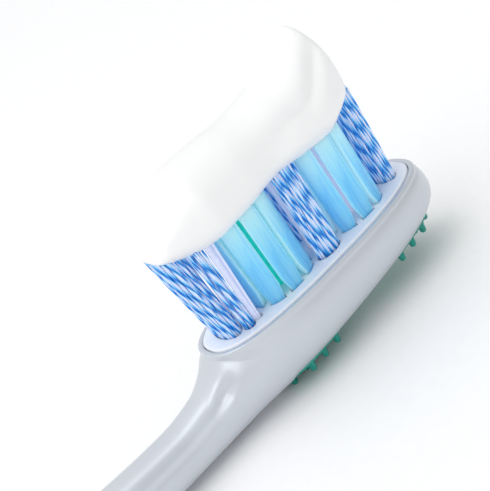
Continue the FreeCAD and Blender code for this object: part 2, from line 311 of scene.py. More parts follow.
# Furrow on the front swell: level, climb and width; shares of the length; the lip's place below it
FURROW_LEVEL = 2.6
FURROW_CLIMB = 3.6
FURROW_WIDTH = 0.95
FURROW_START = 0.5
FURROW_GROWTH = 0.14
FURROW_FADE = 0.1
FURROW_CLIMB_START = 0.74
FURROW_CLIMB_LENGTH = 0.24
FURROW_SIDE = 0.4
LIP_BELOW = 2.3
LIP_WIDTH = 0.9

# Paste stations: share of the length, half width, bottom and top from the tuft tops
PASTE = np.array([
    (0, 3.0, -0.65, 0.92),
    (0.015, 3.3, -0.75, 1.1),
    (0.05, 3.8, -1.3, 2.3),
    (0.12, 4.8, -2.1, 4.35),
    (0.22, 5.7, -2.28, 5.4),
    (0.37, 5.58, -1.97, 5.53),
    (0.52, 5.14, -1.62, 5.36),
    (0.67, 5.5, -2.05, 5.55),
    (0.8, 5.3, -2.38, 6.55),
    (0.885, 4.9, -1.55, 7.76),
    (0.94, 4.45, -0.65, 8.45),
    (0.98, 3.95, 0.05, 7.7),
    (1, 2.6, 1.15, 5.95),
])
FIELD_HALF = (PLATE_HALF[0] - 0.4, PLATE_HALF[1] - 0.5)

# Camera, from the photograph: degrees, then millimetres from the middle of the plate's top
CAMERA_TURN = 20.240
CAMERA_DIP = 23.702
CAMERA_ROLL = 35.870
CAMERA_PLACE = (-37.598, -88.382, 46.574)
CAMERA_LENS = 77.442
SENSOR_WIDTH = 36.0
CAMERA_CLIP = (0.005, 20.0)

# Studio, in metres: lights by name, place from the middle of the head, size and watts
AIM_HEIGHT = 0.012
LIGHTS = (
    ("key_light", (-0.75, -0.25, 0.95), 0.80, 2.3),
    ("top_light", (-0.20, 0.60, 1.90), 1.20, 4.8),
    ("side_light", (-0.30, -1.20, 0.45), 0.80, 0.8),
)
SKY_LEAN = (-0.45, 0.30, 0.84)
FLOOR_REACH = 3.0
FLOOR_LINES = 9


# Curves and fields


def smooth_line(x, xs, ys):
    """A curve through the points (xs, ys) that never overshoots: cubic pieces whose slope at each
    point is the harmonic mean of the slopes on both sides, or nought where those differ in sign."""
    step = np.diff(xs)
    slope = np.diff(ys) / step
    inner = np.where(
        slope[:-1] * slope[1:] > 0, 2 * slope[:-1] * slope[1:] / (slope[:-1] + slope[1:] + 1e-12), 0
    )
    tangent = np.concatenate([[slope[0]], inner, [slope[-1]]])
    i = np.clip(np.searchsorted(xs, x) - 1, 0, len(step) - 1)
    t = np.clip((x - xs[i]) / step[i], 0, 1)
    return (
        ys[i] * (1 + 2 * t) * (1 - t) ** 2
        + ys[i + 1] * t * t * (3 - 2 * t)
        + step[i] * (tangent[i] * t * (1 - t) ** 2 - tangent[i + 1] * t * t * (1 - t))
    )


def signed_power(value, power):
    """The power of the size, with the sign kept."""
    return np.sign(value) * np.abs(value) ** power


def ease(value):
    """0 below 0 and 1 above 1, with a smooth step between: 3t^2 - 2t^3."""
    t = np.clip(value, 0, 1)
    return t * t * (3 - 2 * t)


def oval_distance(x, y, half_x, half_y, power):
    """Rough distance outside an oval: (|x/a|^p + |y/b|^p)^(1/p) - 1, over the length of its gradient."""
    a = np.abs(x) / half_x + 1e-9
    b = np.abs(y) / half_y + 1e-9
    norm = (a ** power + b ** power) ** (1 / power)
    gradient = norm ** (1 - power) * np.hypot(a ** (power - 1) / half_x, b ** (power - 1) / half_y)
    return (norm - 1) / np.maximum(gradient, 1e-6)


def join(a, b, reach):
    """Smooth union of two distances: the lesser one, less a fillet where they differ by under reach."""
    h = np.clip(0.5 + 0.5 * (b - a) / reach, 0, 1)
    return b + (a - b) * h - reach * h * (1 - h)


def belly_drop(x):
    """Depth of the shell's lowest line below the rim, x from the middle of the head."""
    return BELLY_DEPTH - BELLY_SLOPE * x


def head_field(x, y, z):
    """Distance from the head's shell, x from the middle of the head: ovals that swell below the rim
    as a sine and close in to the belly as (1 - t^p)^(1/p)."""
    share = (RIM_Z - z) / belly_drop(x)
    out = np.sin(np.pi / 2 * np.clip(share / BULGE_LEVEL, 0, 1))
    turn = np.clip((share - BULGE_LEVEL) / (1 - BULGE_LEVEL), 0, 1)
    shrink = (1 - turn ** BELLY_POWER) ** (1 / BELLY_POWER)
    under_ring = RING_COVER * ease((BULGE_LEVEL - share) / RING_COVER_FADE)
    half_x = RIM_HALF[0] + BULGE[0] * out - BELLY_END_ROUND * (1 - shrink) - under_ring
    half_y = np.maximum((RIM_HALF[1] + BULGE[1] * out) * shrink, BELLY_LEAST_HALF) - under_ring
    return np.maximum(oval_distance(x, y, half_x, half_y, PLAN_POWER), (share - 1) * BELLY_DEPTH)


def stem_field(x, y, z):
    """Distance from the handle's stem, x in the part's frame: a squarish section between the smooth
    lines of half width, bottom and top, with a crease along each shoulder of the neck."""
    held = np.clip(x, STEM[0, 0], STEM[-1, 0])
    half_y, low, high = (smooth_line(held, STEM[:, 0], STEM[:, k]) for k in (1, 2, 3))
    cap = np.sqrt(np.clip(1 - np.clip((STEM[0, 0] - x) / TAIL_ROUND, 0, 1) ** 2, 1e-4, 1))
    middle, half_z = (low + high) / 2, (high - low) / 2 * cap
    half_y = half_y * cap
    solid = oval_distance(y, z - middle, half_y, half_z, STEM_POWER)
    neck = ease((x - CREASE_X) / CREASE_FADE)
    neck = neck * ease((NECK_X + CREASE_PAST_NECK - x) / CREASE_END_FADE)
    angle = np.arctan2((z - middle) / half_z, np.abs(y) / half_y)
    crease = np.exp(-((angle - CREASE_ANGLE) / CREASE_WIDTH) ** 2)
    hollow = HOLLOW_DEPTH * np.exp(-((x - NECK_X + HOLLOW_BACK) / HOLLOW_REACH) ** 2)
    return np.maximum(solid + (CREASE_DEPTH + hollow) * neck * crease, x - STEM[-1, 0])


def handle_field(x, y, z):
    """Stem and head joined with a fillet, cut flat below the rest and at the rim, with a moat
    where the plate sits."""
    local = x - HEAD_X
    growth = ease((RIM_Z - z) / FILLET_DEPTH) * ease((x - FILLET_X) / FILLET_GROWTH)
    fillet = FILLET + FILLET_GAIN * growth
    body = join(head_field(local, y, z), stem_field(x, y, z), fillet)
    outside = oval_distance(local, y, PLATE_HALF[0], PLATE_HALF[1], PLAN_POWER)
    top = RIM_Z - RIM_CUT - MOAT_DEPTH * ease((MOAT_REACH - outside) / MOAT_FADE)
    body = np.where(x > RIM_CUT_X, np.maximum(body, z - top), body)
    return -join(-body, z - REST_Z, BACK_ROUND)


def cast(x, turn, middle):
    """Radius of the handle about the line z = middle at each x and turn, found by halving."""
    near = np.zeros(np.broadcast(x, turn).shape)
    far = np.full(near.shape, HANDLE_REACH)
    for _ in range(HALVINGS):
        half = (near + far) / 2
        inside = handle_field(x + 0 * half, half * np.cos(turn), middle + half * np.sin(turn)) < 0
        near, far = np.where(inside, half, near), np.where(inside, far, half)
    return (near + far) / 2


def belly_z(x, y):
    """Height of the shell's underside at a point in plan, x from the middle of the head."""
    high = np.full(x.shape, RIM_Z - BELLY_INSIDE_DROP)
    low = np.full(x.shape, BELLY_OUTSIDE_Z)
    for _ in range(HALVINGS):
        half = (high + low) / 2
        inside = head_field(x, y, half) < 0
        high, low = np.where(inside, half, high), np.where(inside, low, half)
    return (high + low) / 2


# Meshes


def grid_faces(rows, columns, wrap):
    """Quads of a rows by columns grid, and each corner's column and row; wrap closes the columns."""
    r, c = np.meshgrid(np.arange(rows - 1), np.arange(columns - (not wrap)), indexing="ij")
    corner_c = np.stack([c, c + 1, c + 1, c], -1).reshape(-1, 4)
    corner_r = np.stack([r, r, r + 1, r + 1], -1).reshape(-1, 4)
    return corner_r * columns + corner_c % columns, corner_c, corner_r


def end_fan(ring, tip, turned):
    """Triangles from a ring of vertices to one tip vertex."""
    after = np.roll(ring, -1)
    pole = np.full(len(ring), tip)
    return np.stack([after, ring, pole] if turned else [ring, after, pole], -1)


def closed_tube(points):
    """A tube from rings of points (rings, sides, 3): its quads, a fan at each end, and its corners."""
    rings, sides = points.shape[:2]
    quads, corner_c, corner_r = grid_faces(rings, sides, True)
    vertices = np.concatenate([points.reshape(-1, 3), points[[0, -1]].mean(1)])
    count = rings * sides
    fans = np.concatenate([
        end_fan(np.arange(sides), count, True),
        end_fan(np.arange(count - sides, count), count + 1, False),
    ])
    return vertices, quads, fans, corner_c, corner_r


def outward(vertices, faces):
    """The faces, all turned round if the volume that they enclose comes out negative."""
    volume = 0.0
    for part in faces:
        a = vertices[part[:, 0]]
        for k in range(1, part.shape[1] - 1):
            volume += np.einsum("ij,ij->", a, np.cross(vertices[part[:, k]], vertices[part[:, k + 1]]))
    return [part[:, ::-1] for part in faces] if volume < 0 else faces, volume < 0


def make_piece(name, vertices, faces, material, nodes, uvs=None):
    """A mesh object from vertices in millimetres and lists of faces, riding on the root and standing
    for the CAD nodes named. The corners' UVs are laid straight down where none are given."""
    if uvs is None:
        uvs = [vertices[part][..., :2] for part in faces]
    faces, turned = outward(vertices, faces)
    uvs = [uv[:, ::-1] if turned else uv for uv in uvs]
    mesh = bpy.data.meshes.new(name)
    mesh.vertices.add(len(vertices))
    mesh.vertices.foreach_set("co", (vertices * MM).astype(np.float32).ravel())
    sizes = np.concatenate([np.full(len(part), part.shape[1]) for part in faces])
    mesh.loops.add(int(sizes.sum()))
    corners = np.concatenate([part.ravel() for part in faces])
    mesh.loops.foreach_set("vertex_index", corners.astype(np.int32))
    mesh.polygons.add(len(sizes))
    mesh.polygons.foreach_set("loop_start", (np.cumsum(sizes) - sizes).astype(np.int32))
    mesh.polygons.foreach_set("use_smooth", np.ones(len(sizes), bool))
    layer = mesh.uv_layers.new(name="UVMap")
    corner_uvs = np.concatenate([uv.reshape(-1, 2) for uv in uvs])
    layer.data.foreach_set("uv", corner_uvs.astype(np.float32).ravel())
    mesh.update(calc_edges=True)
    mesh.validate()
    mesh.materials.append(material)
    piece = bpy.data.objects.new(name, mesh)
    bpy.context.scene.collection.objects.link(piece)
    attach(piece, "root")
    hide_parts(*nodes)


# Materials


def feed(tree, value, target):
    """A plain value set on an input, or a socket linked to it."""
    if isinstance(value, bpy.types.NodeSocket):
        tree.links.new(value, target)
    else:
        target.default_value = value


def add(tree, kind, **values):
    """A node of that kind, with its properties set and its inputs fed by name."""
    node = tree.nodes.new(kind)
    for key, value in values.items():
        if hasattr(node, key):
            setattr(node, key, value)
        else:
            feed(tree, value, node.inputs[key.replace("_", " ")])
    return node


def dress(tree, **values):
    """The inputs of the tree's principled shader fed by name."""
    for key, value in values.items():
        feed(tree, value, tree.nodes["Principled BSDF"].inputs[key.replace("_", " ")])


def new_material(name, coordinate="Object"):
    """A material, its tree and the socket of the coordinate that its patterns follow."""
    material = bpy.data.materials.new(name)
    material.use_nodes = True
    tree = material.node_tree
    return material, tree, add(tree, "ShaderNodeTexCoord").outputs[coordinate]


def ramp(tree, stops, source):
    """The colour of a ramp through (place, colour) stops, fed by a socket."""
    node = add(tree, "ShaderNodeValToRGB", Fac=source)
    points = node.color_ramp.elements
    while len(points) < len(stops):
        points.new(1)
    for point, (place, colour) in zip(points, stops):
        point.position = place
        point.color = (*colour, 1)
    return node.outputs["Color"]


def mottled(tree, deep, pale, source):
    """A colour that goes from deep to pale over the middle of a noise."""
    return ramp(tree, [(0.3, deep), (0.7, pale)], source)


def noise(tree, source, scale, detail=2.0, distortion=0.0):
    """Noise on a coordinate socket."""
    node = add(tree, "ShaderNodeTexNoise", Vector=source, Scale=scale, Detail=detail, Distortion=distortion)
    return node.outputs["Fac"]


def stretched(tree, source, scale):
    """A coordinate scaled along its three directions."""
    return add(tree, "ShaderNodeMapping", Vector=source, Scale=scale).outputs["Vector"]


def bump(tree, height, strength, distance):
    """A normal tilted by a height socket, over a distance in metres."""
    node = add(tree, "ShaderNodeBump", Height=height, Strength=strength, Distance=distance)
    return node.outputs["Normal"]


def blend(tree, mode, first, second, factor=1.0):
    """Two colours mixed in a mode by a factor; each is a socket or a fixed value."""
    node = add(tree, "ShaderNodeMix", data_type="RGBA", blend_type=mode, Factor=factor, A=first, B=second)
    return node.outputs["Result"]


def span(tree, source, low, high):
    """A value from 0..1 mapped to low..high."""
    return add(tree, "ShaderNodeMapRange", Value=source, To_Min=low, To_Max=high).outputs["Result"]


def shaded(colour, factor):
    """The colour made darker or lighter."""
    return tuple(min(1.0, c * factor) for c in colour)


def shell_material(colours):
    """Pearly silver plastic: fine flake specks, a soft cloudiness and a clear coat."""
    material, tree, place = new_material("pearly_shell")
    cloud = noise(tree, place, 140.0, 3.0)
    flakes = noise(tree, place, 9000.0, 1.0)
    dress(
        tree,
        Base_Color=mottled(tree, shaded(colours.shell, 0.975), shaded(colours.shell, 1.02), cloud),
        Roughness=span(tree, flakes, 0.32, 0.44),
        Normal=bump(tree, flakes, 0.08, 0.00002),
        Metallic=0.45,
        Coat_Weight=0.5,
        Coat_Roughness=0.22,
    )
    return material


def plate_material(colours):
    """Smooth moulded white plastic with the faint orange peel of its mould."""
    material, tree, place = new_material("moulded_plate")
    cloud = noise(tree, place, 260.0)
    dress(
        tree,
        Base_Color=mottled(tree, shaded(colours.plate, 0.97), colours.plate, cloud),
        Roughness=span(tree, cloud, 0.26, 0.36),
        Normal=bump(tree, noise(tree, place, 2600.0), 0.12, 0.00003),
        Subsurface_Weight=0.15,
        Subsurface_Scale=0.0008,
        Subsurface_Radius=(1.0, 1.0, 1.0),
    )
    return material


def cup_material(colours):
    """Soft clear-blue rubber, faintly streaked along its height, with painted light: a painted highlight on
    a petal's edges, painted light that pales its top, painted shade that deepens its foot and a painted
    glow. U runs round the petal and V up it."""
    material, tree, uv = new_material("soft_cup", "UV")
    split = add(tree, "ShaderNodeSeparateXYZ", Vector=uv).outputs
    streak = noise(tree, stretched(tree, uv, (16.0, 0.8, 1.0)), 2.2, 2.0, 0.3)
    # Painted shade at the petal's foot and painted light towards its top, up V
    tones = [
        (0.0, colours.cup_painted_foot_shade),
        (0.10, shaded(colours.cup, 0.86)),
        (0.45, colours.cup),
        (1.0, colours.cup_painted_highlight),
    ]
    lift = ramp(tree, [(0.35, (0.66, 0.84, 0.96)), (0.65, WHITE)], streak)
    streaked = blend(tree, "MULTIPLY", ramp(tree, tones, split["Y"]), lift)
    # Painted highlight: the top colour mixed in near U = 0 and from U = 0.43 on, over the other edge and
    # the inner face
    stops = [(0.0, WHITE), (0.07, WHITE), (0.13, BLACK), (0.37, BLACK), (0.43, WHITE), (0.56, WHITE)]
    edge = ramp(tree, stops, split["X"])
    edge_highlighted = blend(tree, "MIX", streaked, (*colours.cup_painted_highlight, 1), edge)
    dress(
        tree,
        Base_Color=edge_highlighted,
        # Painted light: an emission glow in the petal's colours lifts its shade
        Emission_Color=edge_highlighted,
        Emission_Strength=PAINTED_GLOW,
        Roughness=span(tree, streak, 0.22, 0.34),
        Normal=bump(tree, streak, 0.10, 0.00005),
        IOR=1.41,
        Subsurface_Weight=0.85,
        Subsurface_Scale=0.0025,
        Subsurface_Radius=(0.6, 0.9, 1.0),
    )
    return material


def striped_material(colours):
    """Two-tone filament: a stripe that winds round each strand, U round it and V along it in
    millimetres, in four tones from deep blue to near white."""
    material, tree, uv = new_material("striped_filament", "UV")
    split = add(tree, "ShaderNodeSeparateXYZ", Vector=uv).outputs
    wind = add(tree, "ShaderNodeMath", operation="MULTIPLY_ADD")
    for value, target in zip((split["Y"], 1 / STRIPE_PITCH, split["X"]), wind.inputs):
        feed(tree, value, target)
    turn = add(tree, "ShaderNodeMath", operation="FRACT", Value=wind.outputs["Value"])
    tones = [
        (0.0, colours.stripe_deep),
        (0.22, colours.stripe_deep),
        (0.30, colours.stripe_mid),
        (0.44, colours.stripe_sky),
        (0.58, colours.stripe_pale),
        (0.84, colours.stripe_pale),
        (0.92, colours.stripe_sky),
        (0.98, colours.stripe_mid),
    ]
    tone = ramp(tree, tones, turn.outputs["Value"])
    dress(
        tree,
        Base_Color=tone,
        # Painted light: an emission glow in the stripe's tones lifts the shade between the strands
        Emission_Color=tone,
        Emission_Strength=PAINTED_GLOW,
        Roughness=0.3,
        Subsurface_Weight=0.2,
        Subsurface_Scale=0.0004,
        Subsurface_Radius=(0.7, 0.8, 1.0),
    )
    return material


def plain_filament_material(name, colour, shade, painted_glow):
    """One-colour nylon filament, its tone drifting a little along each strand to a deeper shade."""
    material, tree, uv = new_material(name, "UV")
    tone = mottled(tree, shaded(colour, shade), colour, noise(tree, uv, 1.1, 1.0))
    dress(
        tree,
        Base_Color=tone,
        # Painted light: an emission glow in the filament's tone lifts the shade among the strands
        Emission_Color=tone,
        Emission_Strength=painted_glow,
        Roughness=0.3,
        Subsurface_Weight=0.2,
        Subsurface_Scale=0.0004,
        Subsurface_Radius=(1.0, 1.0, 1.0),
    )
    return material


def cleaner_material(colours):
    """Soft teal rubber with a fine matt grain."""
    material, tree, place = new_material("teal_rubber")
    cloud = noise(tree, place, 300.0)
    grain = noise(tree, place, 6000.0)
    dress(
        tree,
        Base_Color=mottled(tree, shaded(colours.cleaner, 0.85), shaded(colours.cleaner, 1.15), cloud),
        Roughness=span(tree, grain, 0.36, 0.52),
        Normal=bump(tree, grain, 0.15, 0.00002),
        Subsurface_Weight=0.1,
        Subsurface_Scale=0.0006,
    )
    return material


def paste_material(colours):
    """Wet white paste: dense scattering, a moist gloss and very faint smears along the strip."""
    material, tree, place = new_material("white_paste")
    smear = noise(tree, stretched(tree, place, (0.35, 1.0, 1.0)), 320.0, 3.0, 0.4)
    dress(
        tree,
        Base_Color=mottled(tree, shaded(colours.paste, 0.985), colours.paste, smear),
        Roughness=span(tree, smear, 0.24, 0.36),
        Normal=bump(tree, smear, 0.10, 0.00008),
        Subsurface_Weight=0.35,
        Subsurface_Scale=0.0015,
        Subsurface_Radius=(1.0, 1.0, 0.95),
    )
    return material


def anchor_material():
    """Drawn brass wire with faint draw marks."""
    material, tree, place = new_material("anchor_brass")
    marks = noise(tree, place, 4000.0)
    dress(
        tree,
        Base_Color=mottled(tree, (0.55, 0.40, 0.15), (0.78, 0.60, 0.27), marks),
        Roughness=span(tree, marks, 0.25, 0.4),
        Metallic=1.0,
    )
    return material


def floor_material():
    """Pale matt studio paper with a hardly visible tooth."""
    material, tree, place = new_material("studio_paper")
    tooth = noise(tree, place, 700.0, 3.0)
    dress(
        tree,
        Base_Color=mottled(tree, (0.93, 0.93, 0.935), (0.95, 0.95, 0.955), tooth),
        Normal=bump(tree, tooth, 0.03, 0.0001),
        Roughness=0.75,
    )
    return material


# Shapes


def handle_stations():
    """Places along X of the handle's rings: a quarter of a cosine at the tail, even stretches that are
    closest where the neck meets the head, and a quarter of a sine at the tip."""
    tail = HANDLE_LOW[0] + TAIL_INSET
    tip = HANDLE_HIGH[0] - TIP_INSET
    start = STEM[0, 0]
    stations = [start - (start - tail) * np.cos(np.linspace(0, np.pi / 2, TAIL_RINGS))[:-1]]
    for end, rings in HANDLE_STRETCHES:
        stations.append(np.linspace(start, end, rings)[:-1])
        start = end
    stations.append(start + (tip - start) * np.sin(np.linspace(0, np.pi / 2, TIP_RINGS)))
    return np.concatenate(stations)


def handle_body():
    """The handle's skin: rays from a line inside it, turned all round at each place along X, and as
    long as the distance field says."""
    x = handle_stations()
    held = np.clip(x, STEM[0, 0], STEM[-1, 0])
    low, high = (smooth_line(held, STEM[:, 0], STEM[:, k]) for k in (2, 3))
    stem_middle = (low + high) / 2
    capped = np.clip((x - HEAD_X - TIP_CAP_X) / (HEAD_HALF[0] - TIP_CAP_X), 0, 1)
    head_middle = RIM_Z - CORE_DROP + CORE_RISE * capped
    share = ease((x - CORE_CHANGE_X) / CORE_CHANGE)
    middle = (stem_middle * (1 - share) + head_middle * share)[:, None]
    turn = 2 * np.pi * np.arange(HANDLE_SIDES)[None, :] / HANDLE_SIDES
    radius = cast(x[:, None], turn, middle)
    return np.stack([x[:, None] + 0 * radius, radius * np.cos(turn), middle + radius * np.sin(turn)], -1)


def rim_ring():
    """The upper wall of the head and the ledge round the plate, as plan ovals: from the widest level
    up the wall, over a rounded crease, across the ledge and down the narrow gap beside the plate.
    Each oval has its reach beyond the plate's edge along X and Y, and a share of the belly's depth
    or a plain drop below the rim."""
    rows = []
    for share in RIM_WALL:
        out = math.sin(math.pi / 2 * min(share / BULGE_LEVEL, 1))
        groove = RIM_GROOVE * math.exp(-((share - RIM_GROOVE_SHARE) / RIM_GROOVE_WIDTH) ** 2)
        sunk = WALL_OVERLAP if share > BULGE_LEVEL else groove
        rows.append((RIM_MARGIN + BULGE[0] * out - sunk, RIM_MARGIN + BULGE[1] * out - sunk, share, 0))
    for out, drop in RIM_LEDGE:
        rows.append((out, out, 0, drop))
    turn = 2 * np.pi * (np.arange(RIM_SIDES) + 0.5) / RIM_SIDES
    cos = signed_power(np.cos(turn), 2 / PLAN_POWER)
    sin = signed_power(np.sin(turn), 2 / PLAN_POWER)
    out_x, out_y, share, drop = np.array(rows).T[:, :, None]
    x = (PLATE_HALF[0] + out_x) * cos
    y = (PLATE_HALF[1] + out_y) * sin
    return np.stack([HEAD_X + x, y, RIM_Z - drop - share * belly_drop(x)], -1)


def petal_rings(centre, half, spread, slit_angle):
    """One petal: a slab with a rounded section between two slits of the oval, carried up to a
    rounded top. Across it the angle runs between the slits, and through it the radius runs from the
    outer oval in by the wall."""
    around = 2 * np.pi * np.arange(PETAL_SIDES) / PETAL_SIDES
    across = signed_power(np.cos(around), 2 / PETAL_POWERS[0])
    through = signed_power(np.sin(around), 2 / PETAL_POWERS[1])
    root = PLATE_TOP - PETAL_ROOT
    height = CUP_TOP - root
    share = np.concatenate([
        np.linspace(0, 1 - PETAL_CAP, PETAL_RINGS),
        1 - PETAL_CAP + PETAL_CAP * np.sin(np.linspace(PETAL_CAP_START, np.pi / 2, PETAL_CAP_RINGS)),
    ])
    cap = np.sqrt(np.clip(1 - np.clip(1 - (1 - share) / PETAL_CAP, 0, 1) ** 2, 0, 1))
    cap = PETAL_CAP_LEAST + (1 - PETAL_CAP_LEAST) * cap
    middle_angle = slit_angle + np.pi / PETALS

    def oval_radius(angle, inset):
        """The cup's oval at an angle: (|cos / a|^p + |sin / b|^p)^(-1/p), both halves less the inset."""
        c = np.abs(np.cos(angle)) / (half[0] - inset)
        s = np.abs(np.sin(angle)) / (half[1] - inset)
        return (c ** PLAN_POWER + s ** PLAN_POWER) ** (-1 / PLAN_POWER)

    inset = CUP_WALL * (0.5 - 0.5 * through * cap[:, None])
    reach = oval_radius(middle_angle + 0 * inset, inset)
    above_plate = share[:, None] * height - PETAL_ROOT
    notch = SLIT / 2 + FOOT_NOTCH * (1 - ease(above_plate / FOOT_NOTCH_RISE))
    half_angle = np.pi / PETALS - np.arcsin(np.clip(notch / reach, 0, 1))
    angle = middle_angle + across * half_angle * (1 - (1 - cap[:, None]) * PETAL_CAP_PINCH)
    swell = 1 + spread * share[:, None] ** 2
    radius = oval_radius(angle, inset) * swell
    x = centre[0] + radius * np.cos(angle)
    y = centre[1] + radius * np.sin(angle)
    z = root + height * share[:, None] + 0 * radius
    return np.stack([x, y, z], -1), share


def strand_roots(half_x, half_y, pitch, generator):
    """Places of strands in an oval: a hexagonal grid, each point shaken a little."""
    columns = np.arange(-ROOT_COLUMNS, ROOT_COLUMNS + 1)
    x, y = np.meshgrid(columns * pitch, columns * pitch * math.sqrt(3) / 2)
    x = x + (np.abs(columns)[:, None] % 2) * pitch / 2
    x = x + generator.uniform(-ROOT_SHAKE, ROOT_SHAKE, x.shape) * pitch
    y = y + generator.uniform(-ROOT_SHAKE, ROOT_SHAKE, y.shape) * pitch
    inset = pitch * ROOT_INSET
    inside = (x / (half_x - inset)) ** 2 + (y / (half_y - inset)) ** 2 < 1
    return x[inside], y[inside]


def tuft_tubes(centre, half_x, half_y, lean, spread, sizes, seed):
    """All strands of a tuft: six-sided tubes whose line goes from a shaken root to a fanned, leaning
    top, bowed a little between. Also each strand's phase and winding for its stripe."""
    generator = np.random.default_rng(seed)
    pitch = sizes.strand_pitch / MM
    radius = sizes.strand_diameter / MM / 2
    x, y = strand_roots(half_x, half_y, pitch, generator)
    count = len(x)
    share = np.linspace(0, 1, STRAND_RINGS)[None, :]
    low = PLATE_TOP - STRAND_ROOT
    high = TUFT_TOP + generator.uniform(-STRAND_TRIM, 0.0, (count, 1))
    stray = generator.normal(0, STRAND_STRAY, (2, count, 1))
    bow = generator.normal(0, STRAND_BOW, (2, count, 1)) * np.sin(np.pi * share)
    fan = 1 + spread * share
    line_x = centre[0] + x[:, None] * fan + (lean + stray[0]) * share + bow[0]
    line_y = centre[1] + y[:, None] * fan + stray[1] * share + bow[1]
    line_z = low + (high - low) * share
    turn = 2 * np.pi * np.arange(STRAND_SIDES) / STRAND_SIDES
    line = np.stack([line_x, line_y, line_z + 0 * line_x], -1)[:, :, None, :]
    ring = np.stack([radius * np.cos(turn), radius * np.sin(turn), 0 * turn], -1)
    wave, along_x, along_y = PHASE_WAVE
    phase = wave * np.sin(along_x * x + along_y * y) + generator.uniform(0, PHASE_DRIFT, count)
    winding = generator.uniform(*WINDING, count)
    return line + ring, phase, winding


def strands_mesh(tubes, phase, winding):
    """Vertices, quads, end fans and UVs of many tubes at once, with whole arrays."""
    count, rings, sides = tubes.shape[:3]
    quads, corner_c, corner_r = grid_faces(rings, sides, True)
    step = rings * sides
    offset = np.arange(count)[:, None, None] * step
    tips = tubes[:, [0, -1]].mean(2).reshape(-1, 3)
    vertices = np.concatenate([tubes.reshape(-1, 3), tips])
    low = end_fan(np.arange(sides), 0, True)
    high = end_fan(np.arange(step - sides, step), 0, False)
    pole = count * step + 2 * np.arange(count)[:, None]
    fans = []
    for k, fan in enumerate((low, high)):
        ring = fan[None, :, :2] + offset
        tip = np.broadcast_to((pole + k)[:, :, None], (count, sides, 1))
        fans.append(np.concatenate([ring, tip], -1))
    all_quads = (quads[None] + offset).reshape(-1, 4)
    all_fans = np.concatenate(fans, 1).reshape(-1, 3)
    length = tubes[..., 2].mean(2)
    u = corner_c[None] / sides + phase[:, None, None]
    v = length[np.arange(count)[:, None, None], corner_r[None]] * winding[:, None, None]
    quad_uv = np.stack([u, v], -1).reshape(-1, 4, 2)
    fan_uv = np.zeros((len(all_fans), 3, 2))
    return vertices, all_quads, all_fans, quad_uv, fan_uv


def pad_outline(x):
    """Half width of the tongue cleaner at x from the middle of the head: two lobes and a waist."""
    turn = np.where(
        x < PAD_WAIST_X,
        (PAD_WAIST_X - x) / (PAD_WAIST_X - (PAD_REAR + PAD_REAR_ROUND) - PAD_LOBE),
        (x - PAD_WAIST_X) / (PAD_FRONT - PAD_FRONT_ROUND - PAD_LOBE - PAD_WAIST_X),
    )
    half = PAD_HALF_WIDTH - PAD_WAIST_INSET * (1 + np.cos(np.pi * np.minimum(turn, 1))) / 2
    rear = np.clip((PAD_REAR + PAD_REAR_ROUND - x) / PAD_REAR_ROUND, 0, 1)
    front = np.clip((x - PAD_FRONT + PAD_FRONT_ROUND) / PAD_FRONT_ROUND, 0, 1)
    return half * np.sqrt(1 - rear ** 2) * np.sqrt(1 - front ** 2)


def pad_rings():
    """The pad as rings that shrink from its outline to its middle line: proud of the shell inside,
    rounded down into it over the last third of a millimetre. Underneath it closes inside the shell."""
    turn = np.pi * np.arange(1, PAD_STEPS) / PAD_STEPS
    middle = (PAD_REAR + PAD_FRONT) / 2
    x = middle - (PAD_FRONT - PAD_REAR) / 2 * np.cos(turn)
    outline = np.concatenate([x, x[::-1]])
    side = np.concatenate([pad_outline(x), -pad_outline(x[::-1])])
    rings = []
    for share, lift in PAD_PROFILE:
        ring_x = middle + (outline - middle) * (1 - (1 - share) * PAD_SHORTENING)
        ring_y = side * share
        rings.append(np.stack([HEAD_X + ring_x, ring_y, belly_z(ring_x, ring_y) - lift], -1))
    return np.array(rings)


def nub_rings():
    """All nubs of the tongue cleaner: a rounded profile turned about each place on the pad."""
    rear = PAD_REAR + NUB_REAR_MARGIN + NUB_PITCH * np.arange(NUB_COUNT)
    front = PAD_FRONT - NUB_FRONT_MARGIN - NUB_PITCH * np.arange(NUB_COUNT)[::-1]
    rows = (np.arange(NUB_ROWS) - (NUB_ROWS - 1) / 2) * NUB_ROW_PITCH
    x, y = np.meshgrid(np.concatenate([rear, front]), rows)
    keep = pad_outline(x) - np.abs(y) > NUB_EDGE_MARGIN
    x, y = x[keep], y[keep]
    root = belly_z(x, y) - PAD_PROUD
    turn = 2 * np.pi * np.arange(NUB_SIDES) / NUB_SIDES
    radius = NUB_RADIUS * NUB_PROFILE[:, 0]
    ring_x = HEAD_X + x[:, None, None] + radius[None, :, None] * np.cos(turn)
    ring_y = y[:, None, None] + radius[None, :, None] * np.sin(turn)
    ring_z = root[:, None, None] - NUB_PROFILE[None, :, 1, None] * NUB_HEIGHT + 0 * ring_x
    return np.stack([ring_x, ring_y, np.maximum(ring_z, NUB_CLEARANCE)], -1)


